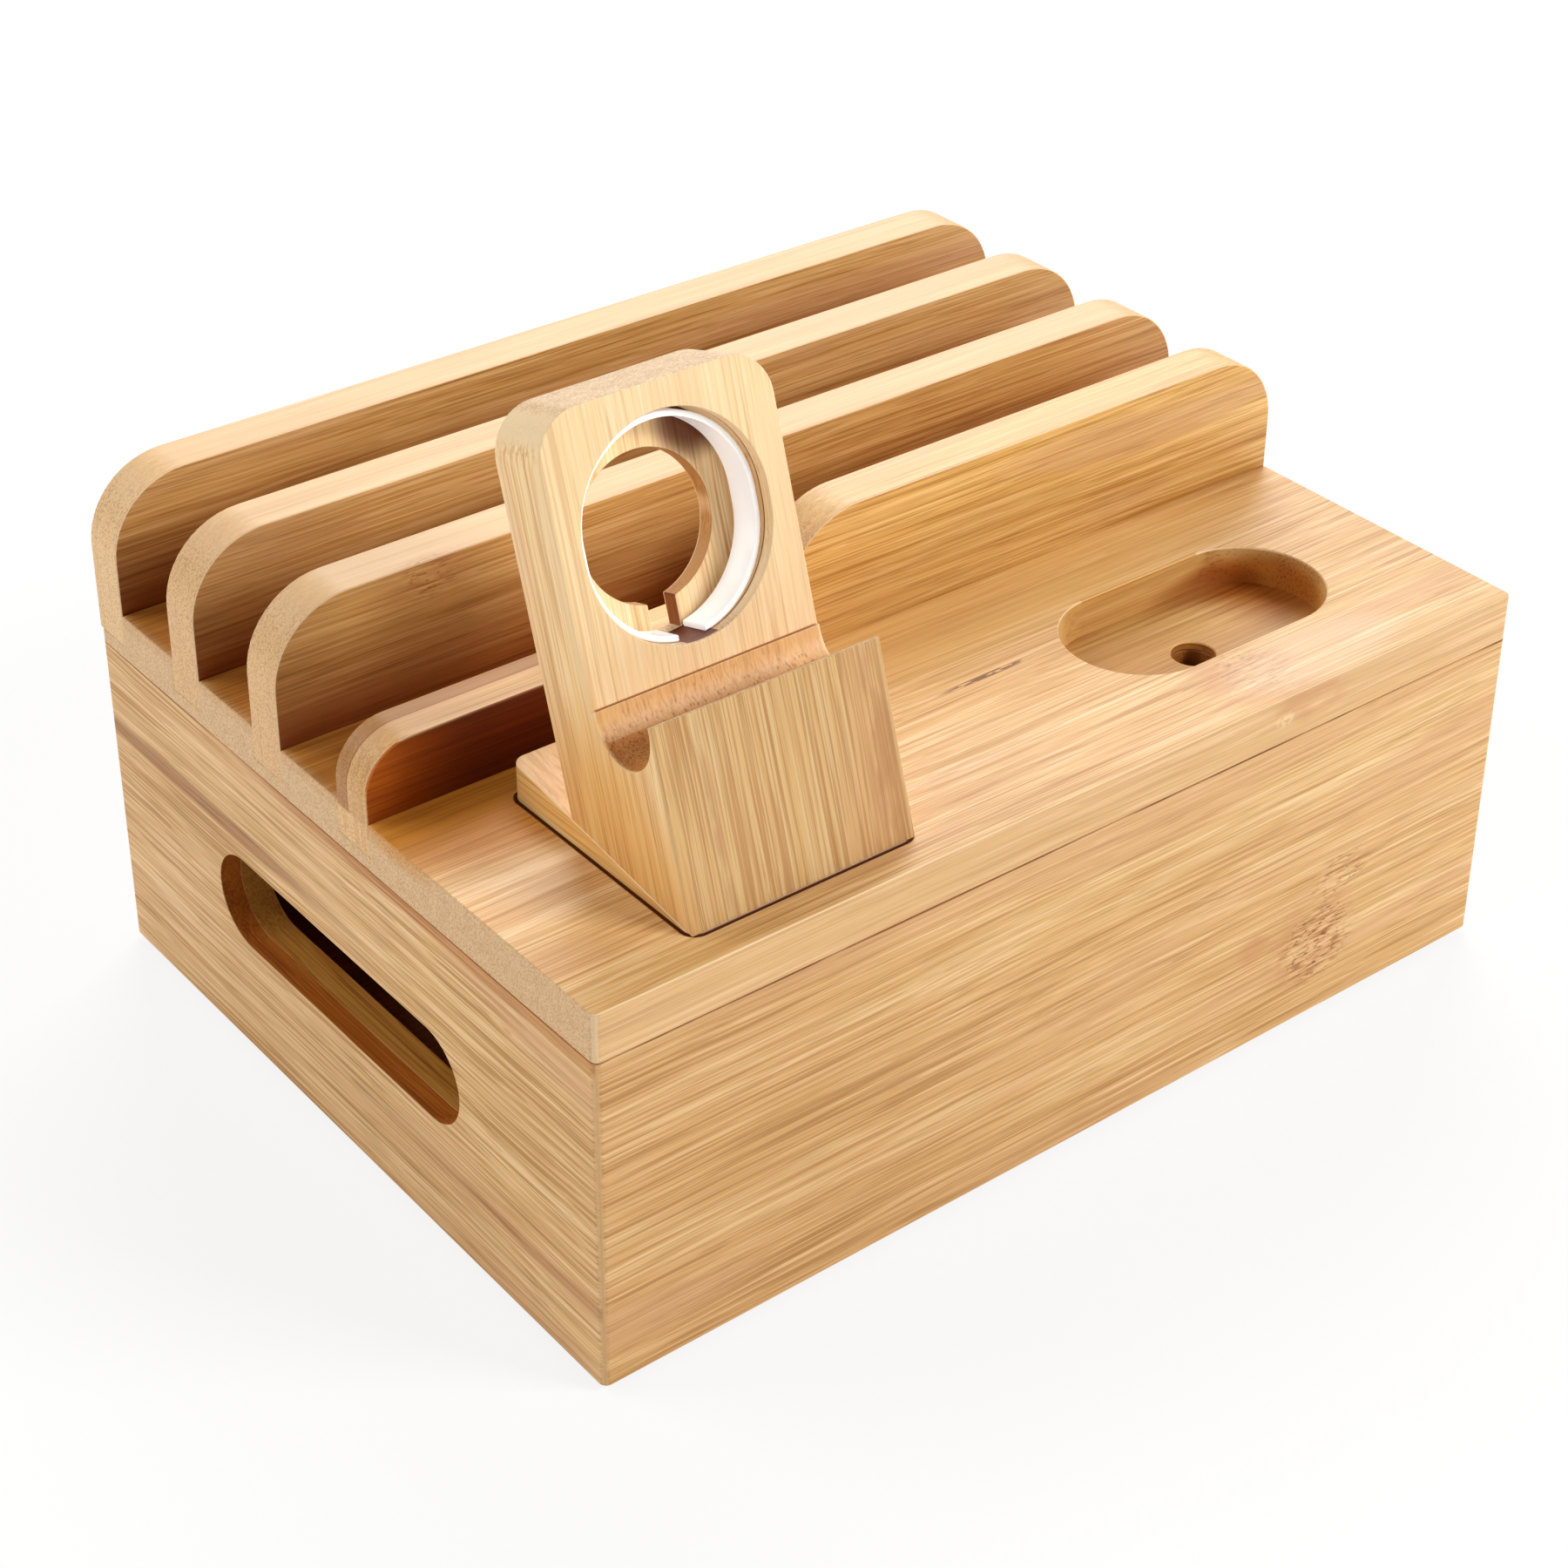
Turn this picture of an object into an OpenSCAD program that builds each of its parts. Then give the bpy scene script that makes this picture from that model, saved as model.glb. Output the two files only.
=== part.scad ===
// Bamboo charging station: a box for the power supply, a lid with device slots,
// and a loose stand for a phone and a watch charger. Millimetres, +Z up.
// The origin is on the ground under the middle of the box, and the front faces -Y.

/* [Box] */
// Width of the box, left to right
box_w = 175; // [165:0.5:230]
// Depth of the open deck in front of the dividers
deck_d = 54.2; // [50:0.1:90]
// Height of the wall boards
wall_h = 55.5; // [47:0.1:80]
// Thickness of the wall boards
wall_t = 8; // [6:0.1:10]
// Round of the four upright corners
corner_r = 1.2; // [0.4:0.1:4]
// Thickness of the bottom panel
panel_t = 4; // [3:0.1:6]
// Depth of the rebate that the bottom panel is glued in
rebate_d = 4; // [2:0.1:5]
// Glue gap round the bottom panel
panel_gap = 0.2; // [0.1:0.05:0.5]

/* [Cable opening in the left side] */
// Length of the opening
port_l = 66.8; // [40:0.1:100]
// Height of the opening
port_h = 16; // [10:0.1:22]
// Height of its centre above the boards' bottom edge
port_z = 28.2; // [14:0.1:34]
// How far its centre lies behind the middle of the box
port_back = 0.6; // [-8:0.1:8]

/* [Feet] */
// Diameter of a rubber foot
foot_d = 10; // [6:0.1:14]
// Thickness of a rubber foot
foot_h = 1.2; // [0.8:0.1:3]
// Distance of a foot's centre from the two outer faces
foot_inset = 14; // [12:0.5:25]

/* [Lid] */
// Thickness of the lid
lid_t = 8; // [7.4:0.1:12]
// Width of the locating battens under the lid
batten_w = 8; // [5:0.1:14]
// Height of the battens
batten_h = 8; // [4:0.1:10]
// Play between the battens and the walls
batten_gap = 0.4; // [0.2:0.05:1]
// Length of the cable hole in each device slot
cable_l = 26; // [14:0.5:60]
// Width of the cable hole
cable_w = 10; // [6:0.1:12]

/* [Dividers] */
// Thickness of a divider
div_t = 8; // [6:0.1:12]
// Clear width of a device slot
slot_w = 15.7; // [12:0.05:24]
// Height of the dividers above the lid
div_h = 22.1; // [19:0.1:40]
// Round of the dividers' top corners
div_r = 13; // [5:0.1:16]
// Depth of the grooves in the lid that hold the dividers
dado_d = 5.5; // [3:0.1:6]
// Height of the front divider's low part
low_h = 11.5; // [9:0.1:17]
// Round of the low part's free corner
low_r = 8; // [3:0.1:9]
// Distance from the left side to where the front divider has its full height
step_x = 86.8; // [60:0.5:110]
// Hollow round at the foot of the step
step_r = 6; // [3:0.1:8]

/* [Earbud tray] */
// Length of the recess for an earbud case
tray_l = 48.2; // [36:0.1:60]
// Width of the recess
tray_w = 24.35; // [18:0.05:30]
// Depth of the recess
tray_d = 6.5; // [4:0.1:6.8]
// Distance of its centre from the right side
tray_x = 42.7; // [34:0.1:48]
// Distance of its centre from the front
tray_y = 27.2; // [20:0.1:32]
// Diameter of the cable hole in its floor
bud_hole_d = 7; // [4:0.1:12]
// How far that hole lies left of the recess's centre
bud_hole_left = 1.7; // [0:0.1:5]
// How far that hole lies in front of the recess's centre
bud_hole_front = 2.2; // [0:0.1:5]
// Side of the square pad glued under the recess, round that hole
pad_w = 18; // [12:0.5:20]
// Thickness of the pad
pad_t = 4; // [3:0.1:8]

/* [Stand] */
// Width of the stand
stand_w = 38.2; // [36:0.1:50]
// Distance from the left side to the stand
stand_x = 19.9; // [12:0.05:30]
// Distance from the front to the stand
stand_y = 5.8; // [4:0.1:8]
// How far the stand leans back, in degrees
lean = 17.5; // [12:0.5:20]
// Slope of the plank under the stand, in degrees
plank_slope = 8; // [5:0.5:10]
// Thickness of that plank at its front edge
plank_t = 2; // [1.6:0.1:3]
// Length of that plank, front to back
plank_l = 42.4; // [40:0.1:43.5]
// Round of the plank's upright corners
plank_r = 2; // [0.5:0.1:4]
// Thickness of the front lip at its top
lip_t = 0.65; // [0.4:0.05:4]
// Height of the front lip along the slope
lip_h = 29.4; // [26:0.1:34]
// Height of the upright above the lip along the slope
face_h = 40.2; // [38:0.1:60]
// Round of the upright's top corners
top_r = 7; // [2:0.1:10]
// Diameter of the groove that holds a phone
groove_d = 12.8; // [9:0.1:16]
// Step between the groove's edge and the upright
groove_step = 0.45; // [0.1:0.05:1]
// How far the groove's axis lies below the lip
groove_drop = 0.8; // [0:0.1:3]
// Depth of the pocket in the lid that the stand drops in
pocket_d = 2; // [1.5:0.1:3]
// Play beside the stand in that pocket
pocket_side_gap = 0.5; // [0.3:0.1:2]
// Play in front of and behind the stand in that pocket
pocket_end_gap = 0.4; // [0.3:0.1:1]

/* [Watch charger seat] */
// Width of the seat, which has round ends
seat_d = 30.4; // [26:0.1:34]
// How much longer than wide it is, up the slope
seat_rise = 1.8; // [0:0.1:3]
// Depth of the seat
seat_depth = 8.2; // [6:0.1:10]
// Thickness of the wood behind it
seat_floor = 3; // [2:0.05:6]
// Height of its lower round's centre above the lip along the slope
seat_s = 19.05; // [18.5:0.05:21]
// Diameter of the hole through the seat's floor
through_d = 21.5; // [12:0.1:24]
// Width of the cable slot below that hole
slit_w = 4.5; // [3:0.1:8]
// Wall thickness of the liner
liner_t = 0.9; // [0.6:0.05:2]
// How far the liner ends below the face
liner_sink = 2.1; // [0.5:0.1:4]
// How far the liner ends above the seat's floor
liner_lift = 0.8; // [0:0.1:3]
// Gap between the liner and the wood beside and above it
liner_gap = 0.6; // [0.2:0.05:1]
// Gap between the liner and the wood that it rests on below
liner_rest = 0.05; // [0.02:0.01:0.2]
// Width of the split in the liner
liner_split = 4.2; // [1:0.1:8]

/* [Stand screws] */
// Distance between the two screws
screw_pitch = 20; // [10:0.5:24]
// Distance of the screws from the plank's front edge
screw_y = 21; // [18:0.5:24]
// Shank diameter
screw_d = 3; // [2.5:0.1:4]
// Head diameter
screw_head_d = 6; // [5:0.1:7]
// Depth of the head's cone
screw_head_h = 1.7; // [1.2:0.1:2]
// Overall length
screw_l = 15; // [10:0.5:18]
// How deep the head is sunk
screw_sink = 0.4; // [0.2:0.1:0.6]
// Gap between a screw and the wood
screw_gap = 0.05; // [0.02:0.01:0.2]

/* [Hidden] */
$fn = 96;

// Overlap of a cutting shape with what it cuts
cut = 1;
// Steps in a quarter of a drawn arc
arc_steps = 12;

// The deck, one divider more than there are slots, and the slots make up the depth
slot_count = 3;
div_pitch = div_t + slot_w;
box_d = deck_d + div_t + slot_count * div_pitch;

wall_z = foot_h;
lid_z = wall_z + wall_h;
deck_z = lid_z + lid_t;
left_x = -box_w / 2;
right_x = box_w / 2;
front_y = -box_d / 2;
back_y = box_d / 2;

// Middle of a divider, counted from the back one, which is flush with the lid's back
function divider_y(i) = back_y - div_t / 2 - i * div_pitch;

// Middle of the recess and of its cable hole
tray_mid_x = right_x - tray_x;
tray_mid_y = front_y + tray_y;
bud_hole_x = tray_mid_x - bud_hole_left;
bud_hole_y = tray_mid_y - bud_hole_front;

// Place of the stand: its left front foot on the plank
stand_left = left_x + stand_x;
stand_front = front_y + stand_y;
pocket_z = deck_z - pocket_d;
plank_top_z = pocket_z + plank_t;

// Depths square to the stand's face, counted from the front of its lip
groove_t = lip_t + groove_d / 2;
face_t = lip_t + groove_d + groove_step;
seat_floor_t = face_t + seat_depth;
block_t = seat_floor_t + seat_floor;

// Heights along the stand's slope, counted from the plank
groove_s = lip_h - groove_drop;
block_h = lip_h + face_h;
seat_mid_s = lip_h + seat_s;
seat_x = stand_w / 2;

// Points of an arc about c, from angle a to angle b
function arc(c, r, a, b) =
    [for (i = [0:arc_steps]) c + r * [cos(a + (b - a) * i / arc_steps), sin(a + (b - a) * i / arc_steps)]];

// Rectangle from the origin, with its four corners rounded
module rounded_rect(w, d, r) {
    polygon(concat(
        arc([r, r], r, 180, 270),
        arc([w - r, r], r, 270, 360),
        arc([w - r, d - r], r, 0, 90),
        arc([r, d - r], r, 90, 180)));
}

// Slot with round ends, centred, drawn along X and cut through Z
module slot_cut(l, w, h) {
    straight = l - w;
    translate([-straight / 2, -w / 2, 0]) cube([straight, w, h]);
    for (side = [-1, 1]) translate([side * straight / 2, 0, 0]) cylinder(d = w, h = h);
}

// Wall board with its outer face on y = 0, mitred at both ends
module wall(l) {
    half_round = arc([corner_r - l / 2, corner_r], corner_r, 225, 270);
    mirrored = [for (i = [arc_steps:-1:0]) [-half_round[i][0], half_round[i][1]]];
    inner = [[l / 2 - wall_t, wall_t], [wall_t - l / 2, wall_t]];
    difference() {
        translate([0, 0, wall_z]) linear_extrude(wall_h) polygon(concat(half_round, mirrored, inner));
        translate([-l / 2 - cut, wall_t - rebate_d, wall_z - cut])
            cube([l + 2 * cut, rebate_d + cut, panel_t + cut]);
    }
}

module front_board() {
    color("burlywood") translate([0, front_y, 0]) wall(box_w);
}

module back_board() {
    color("burlywood") rotate(180) translate([0, front_y, 0]) wall(box_w);
}

// Side board with the long cable opening
module left_board() {
    color("burlywood") rotate(-90) translate([0, left_x, 0]) difference() {
        wall(box_d);
        translate([-port_back, wall_t + cut, wall_z + port_z])
            rotate([90, 0, 0]) slot_cut(port_l, port_h, wall_t + 2 * cut);
    }
}

module right_board() {
    color("burlywood") rotate(90) translate([0, left_x, 0]) wall(box_d);
}

module bottom_panel() {
    inset = wall_t - rebate_d + panel_gap;
    color("wheat") translate([left_x + inset, front_y + inset, wall_z])
        cube([box_w - 2 * inset, box_d - 2 * inset, panel_t]);
}

// Rubber foot at one corner; the signs choose the corner
module foot(side, end) {
    color("dimgray")
        translate([side * (box_w / 2 - foot_inset), end * (box_d / 2 - foot_inset), 0])
        cylinder(d = foot_d, h = foot_h);
}

module foot_front_left() foot(-1, -1);

module foot_front_right() foot(1, -1);

module foot_back_left() foot(-1, 1);

module foot_back_right() foot(1, 1);

// Lid with its divider grooves, the stand's pocket, the earbud tray and the cable holes
module lid_board() {
    color("tan") difference() {
        translate([left_x, front_y, lid_z]) linear_extrude(lid_t) rounded_rect(box_w, box_d, corner_r);
        for (i = [0:slot_count])
            translate([left_x - cut, divider_y(i) - div_t / 2, deck_z - dado_d])
                cube([box_w + 2 * cut, i == 0 ? div_t + cut : div_t, dado_d + cut]);
        for (i = [1:slot_count])
            translate([0, divider_y(i) + div_pitch / 2, lid_z - cut])
                slot_cut(cable_l, cable_w, lid_t + 2 * cut);
        stand_pocket();
        translate([tray_mid_x, tray_mid_y, deck_z - tray_d]) slot_cut(tray_l, tray_w, tray_d + cut);
        translate([bud_hole_x, bud_hole_y, lid_z - cut]) cylinder(d = bud_hole_d, h = lid_t + 2 * cut);
    }
}

module stand_pocket() {
    pocket_w = stand_w + 2 * pocket_side_gap;
    pocket_l = plank_l + 2 * pocket_end_gap;
    translate([stand_left - pocket_side_gap, stand_front - pocket_end_gap, pocket_z])
        linear_extrude(pocket_d + cut)
        rounded_rect(pocket_w, pocket_l, plank_r + pocket_end_gap);
}

// Batten under the lid, just inside a side wall
module batten(side) {
    reach = box_w / 2 - wall_t - batten_gap;
    l = box_d - 2 * (wall_t + batten_gap);
    color("wheat")
        translate([side > 0 ? reach - batten_w : -reach, -l / 2, lid_z - batten_h])
        cube([batten_w, l, batten_h]);
}

module batten_left() batten(-1);

module batten_right() batten(1);

// Pad that backs the recess's thin floor, with the cable hole through it
module tray_pad() {
    color("wheat") translate([bud_hole_x, bud_hole_y, lid_z - pad_t]) difference() {
        translate([-pad_w / 2, -pad_w / 2, 0]) cube([pad_w, pad_w, pad_t]);
        translate([0, 0, -cut]) cylinder(d = bud_hole_d, h = pad_t + 2 * cut);
    }
}

// Stands an outline drawn from the lid's groove upwards in the divider's place
module divider(i) {
    color("navajowhite")
        translate([left_x, divider_y(i) + div_t / 2, deck_z - dado_d])
        rotate([90, 0, 0]) linear_extrude(div_t) children();
}

module full_outline() {
    top = dado_d + div_h;
    polygon(concat(
        [[0, 0], [box_w, 0]],
        arc([box_w - div_r, top - div_r], div_r, 0, 90),
        arc([div_r, top - div_r], div_r, 90, 180)));
}

// Low at the left, then a hollow and a round up to the full height
module stepped_outline() {
    top = dado_d + div_h;
    low = dado_d + low_h;
    rise = max(0, low + step_r - (top - div_r));
    run = sqrt(pow(div_r + step_r, 2) - rise * rise);
    turn = atan(rise / run);
    polygon(concat(
        [[0, 0], [box_w, 0]],
        arc([box_w - div_r, top - div_r], div_r, 0, 90),
        arc([step_x, top - div_r], div_r, 90, 180 - turn),
        arc([step_x - run, low + step_r], step_r, -turn, -90),
        arc([low_r, low - low_r], low_r, 90, 180)));
}

module divider_back() divider(0) full_outline();

module divider_mid_back() divider(1) full_outline();

module divider_mid_front() divider(2) full_outline();

module divider_front() divider(3) stepped_outline();

// Frame of the leaning block: X across, Y into the block, Z up the slope
module on_slope() {
    translate([stand_left, stand_front, plank_top_z]) rotate([-lean, 0, 0]) children();
}

// Everything below the plank's sloping top, or above it
module under_plank_top(above) {
    reach = 2 * (plank_l + block_h);
    translate([stand_left - cut, stand_front, plank_top_z])
        rotate([plank_slope, 0, 0])
        translate([0, -reach / 2, above ? 0 : -reach])
        cube([stand_w + 2 * cut, reach, reach]);
}

// Cut into the face at the watch charger's seat, its round ends drop and rise from the seat's middle
module seat_cut(d, drop, rise, from_t, to_t) {
    for (s = [-drop, rise])
        translate([seat_x, to_t, seat_mid_s + s]) rotate([90, 0, 0]) cylinder(d = d, h = to_t - from_t);
    if (drop + rise > 0)
        translate([seat_x - d / 2, from_t, seat_mid_s - drop]) cube([d, to_t - from_t, drop + rise]);
}

// One vertical screw, grown by a gap when it is used as a cut
module screw(gap) {
    shank_r = screw_d / 2 + gap;
    head_r = screw_head_d / 2 + gap;
    translate([0, 0, screw_sink]) {
        if (gap > 0) translate([0, 0, -screw_sink - cut]) cylinder(r = head_r, h = screw_sink + cut);
        cylinder(r1 = head_r, r2 = shank_r, h = screw_head_h);
        cylinder(r = shank_r, h = screw_l + gap);
    }
}

module both_screws(gap) {
    for (side = [-1, 1])
        translate([stand_left + stand_w / 2 + side * screw_pitch / 2, stand_front + screw_y, pocket_z])
            screw(gap);
}

// Leaning block with the lip, the phone groove, the upright and the round seat
module stand_block() {
    buried = block_t;
    color("sandybrown") difference() {
        on_slope() difference() {
            translate([0, 0, -buried]) cube([stand_w, block_t, block_h + buried]);
            translate([-cut, -cut, lip_h]) cube([stand_w + 2 * cut, face_t + cut, face_h + cut]);
            translate([-cut, groove_t, groove_s]) rotate([0, 90, 0])
                cylinder(d = groove_d, h = stand_w + 2 * cut);
            translate([-cut, groove_t - groove_d / 2, groove_s])
                cube([stand_w + 2 * cut, groove_d, groove_drop + cut]);
            top_corner_cut(0);
            top_corner_cut(1);
            seat_cut(seat_d, 0, seat_rise, 0, seat_floor_t);
            seat_cut(through_d, 0, 0, seat_floor_t - cut, block_t + cut);
            intersection() {
                translate([seat_x - slit_w / 2, seat_floor_t - cut, seat_mid_s - seat_d])
                    cube([slit_w, block_t, seat_d]);
                seat_cut(seat_d, 0, 0, seat_floor_t - cut, block_t + cut);
            }
        }
        under_plank_top(false);
        both_screws(screw_gap);
    }
}

// What is left of a square corner outside its round
module top_corner_cut(right) {
    translate([right * stand_w, 0, 0]) mirror([right, 0, 0])
        translate([0, block_t + cut, block_h]) rotate([90, 0, 0])
        linear_extrude(block_t + 2 * cut)
        polygon(concat([[-cut, cut], [-cut, -top_r]], arc([top_r, -top_r], top_r, 180, 90), [[top_r, cut]]));
}

// Sloping plank under the block
module stand_plank() {
    tallest = plank_t + plank_l * tan(plank_slope) + cut;
    color("peru") difference() {
        translate([stand_left, stand_front, pocket_z])
            linear_extrude(tallest) rounded_rect(stand_w, plank_l, plank_r);
        under_plank_top(true);
        both_screws(screw_gap);
    }
}

// Split ring that lines the round seat
module seat_liner() {
    outer_d = seat_d - 2 * liner_gap;
    drop = liner_gap - liner_rest;
    color("white") on_slope() difference() {
        seat_cut(outer_d, drop, seat_rise, face_t + liner_sink, seat_floor_t - liner_lift);
        seat_cut(outer_d - 2 * liner_t, drop, seat_rise, 0, seat_floor_t + cut);
        translate([seat_x - liner_split / 2, 0, seat_mid_s - seat_d])
            cube([liner_split, seat_floor_t + cut, seat_d]);
    }
}

module stand_screws() {
    color("silver") both_screws(0);
}

front_board();
back_board();
left_board();
right_board();
bottom_panel();
foot_front_left();
foot_front_right();
foot_back_left();
foot_back_right();
lid_board();
batten_left();
batten_right();
tray_pad();
divider_back();
divider_mid_back();
divider_mid_front();
divider_front();
stand_block();
stand_plank();
seat_liner();
stand_screws();
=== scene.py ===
"""Looks of a bamboo charging station: a cable box, a lid with slots and an earbud tray, and a leaning stand.

Every wooden piece is an eased copy of its solid, dressed in bamboo whose fibres run along that piece, with
shade, shadows and highlights partly painted into its colour.
All lengths in this file are metres unless a name says otherwise.
"""

from __future__ import annotations

import logging
import math
from dataclasses import dataclass, field
from enum import Enum
from typing import Any, Sequence

import bmesh
import bpy
from mathutils import Euler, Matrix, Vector


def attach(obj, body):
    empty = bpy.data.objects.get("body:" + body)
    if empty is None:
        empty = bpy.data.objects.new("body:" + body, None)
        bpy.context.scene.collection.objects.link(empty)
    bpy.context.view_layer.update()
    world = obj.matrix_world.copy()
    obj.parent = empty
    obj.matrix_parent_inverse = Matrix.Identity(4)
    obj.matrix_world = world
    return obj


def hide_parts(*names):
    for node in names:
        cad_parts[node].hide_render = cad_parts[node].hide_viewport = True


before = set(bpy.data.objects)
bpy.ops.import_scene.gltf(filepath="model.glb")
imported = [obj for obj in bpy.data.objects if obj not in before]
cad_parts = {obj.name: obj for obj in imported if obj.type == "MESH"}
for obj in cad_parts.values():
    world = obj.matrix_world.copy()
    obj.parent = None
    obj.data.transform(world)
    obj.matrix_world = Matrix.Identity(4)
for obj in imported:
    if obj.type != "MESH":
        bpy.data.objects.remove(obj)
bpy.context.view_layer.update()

log = logging.getLogger("charging_station")

MM = 0.001
Colour = tuple[float, float, float]
Triple = tuple[float, float, float]


def srgb(red: int, green: int, blue: int) -> Colour:
    """Turns a colour given as screen values into the linear values that shaders take.

    Args:
        red: Red, 0 to 255.
        green: Green, 0 to 255.
        blue: Blue, 0 to 255.

    Returns:
        The linear red, green and blue.
    """
    knee, slope, lift, power = 0.04045, 12.92, 0.055, 2.4

    def linear(value: int) -> float:
        """Linear share of one channel."""
        share = value / 255
        return share / slope if share <= knee else ((share + lift) / (1 + lift)) ** power

    return linear(red), linear(green), linear(blue)


class Grain(Enum):
    """Which way the fibres of a wooden piece run."""

    ACROSS_BOX = "left to right"
    FRONT_TO_BACK = "front to back"
    UP_THE_SLOPE = "up the stand's slope"


LEAN = math.radians(17.5)

# For each grain: the fibre's direction, then the two directions square to it
GRAIN_AXES: dict[Grain, tuple[Triple, Triple, Triple]] = {
    Grain.ACROSS_BOX: ((1, 0, 0), (0, 1, 0), (0, 0, 1)),
    Grain.FRONT_TO_BACK: ((0, 1, 0), (-1, 0, 0), (0, 0, 1)),
    Grain.UP_THE_SLOPE: (
        (0, math.sin(LEAN), math.cos(LEAN)),
        (1, 0, 0),
        (0, math.cos(LEAN), -math.sin(LEAN)),
    ),
}


def on_slope(across: float, up: float, out: float) -> Triple:
    """Turns a place on the stand's slope into the object's frame.

    Args:
        across: Place from left to right.
        up: Distance up the slope.
        out: Distance square to the slope, towards the back.

    Returns:
        The same place in the object's frame, in the same unit.
    """
    rise, run = math.cos(LEAN), math.sin(LEAN)
    return across, up * run + out * rise, up * rise - out * run


class Shade:
    """A shader value or colour, so that node maths reads as Python maths."""

    def __init__(self, tree: "Shader", socket: bpy.types.NodeSocket) -> None:
        """Wraps an output socket of a shader's tree."""
        self.tree = tree
        self.socket = socket

    def _math(self, operation: str, *values: Any) -> "Shade":
        """Adds a Math node on this value and others."""
        node = self.tree.add("ShaderNodeMath", {"operation": operation}, dict(enumerate(values)))
        return Shade(self.tree, node.outputs[0])

    def __add__(self, other: Any) -> "Shade":
        """This plus other."""
        return self._math("ADD", self, other)

    __radd__ = __add__

    def __mul__(self, other: Any) -> "Shade":
        """This times other."""
        return self._math("MULTIPLY", self, other)

    __rmul__ = __mul__

    def __sub__(self, other: Any) -> "Shade":
        """This minus other."""
        return self._math("SUBTRACT", self, other)

    def __rsub__(self, other: Any) -> "Shade":
        """Other minus this."""
        return self._math("SUBTRACT", other, self)

    def __truediv__(self, other: Any) -> "Shade":
        """This divided by other."""
        return self._math("DIVIDE", self, other)

    def __pow__(self, other: Any) -> "Shade":
        """This to the power of other."""
        return self._math("POWER", self, other)

    def __abs__(self) -> "Shade":
        """Size of this value without its sign."""
        return self._math("ABSOLUTE", self)

    def floor(self) -> "Shade":
        """Whole number below this value."""
        return self._math("FLOOR", self)

    def smaller(self, other: Any) -> "Shade":
        """The smaller of this and other."""
        return self._math("MINIMUM", self, other)

    def larger(self, other: Any) -> "Shade":
        """The larger of this and other."""
        return self._math("MAXIMUM", self, other)

    def step(self, low: float, high: float) -> "Shade":
        """Smooth step from 0 at low to 1 at high, or the other way round if low is above high.

        Args:
            low: Value at which the step starts.
            high: Value at which the step is over.

        Returns:
            The stepped value, from 0 to 1.
        """
        turned = low > high
        ends = (high, low) if turned else (low, high)
        outs = (1.0, 0.0) if turned else (0.0, 1.0)
        node = self.tree.add(
            "ShaderNodeMapRange",
            {"interpolation_type": "SMOOTHSTEP"},
            {0: self, 1: ends[0], 2: ends[1], 3: outs[0], 4: outs[1]},
        )
        return Shade(self.tree, node.outputs[0])


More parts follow.
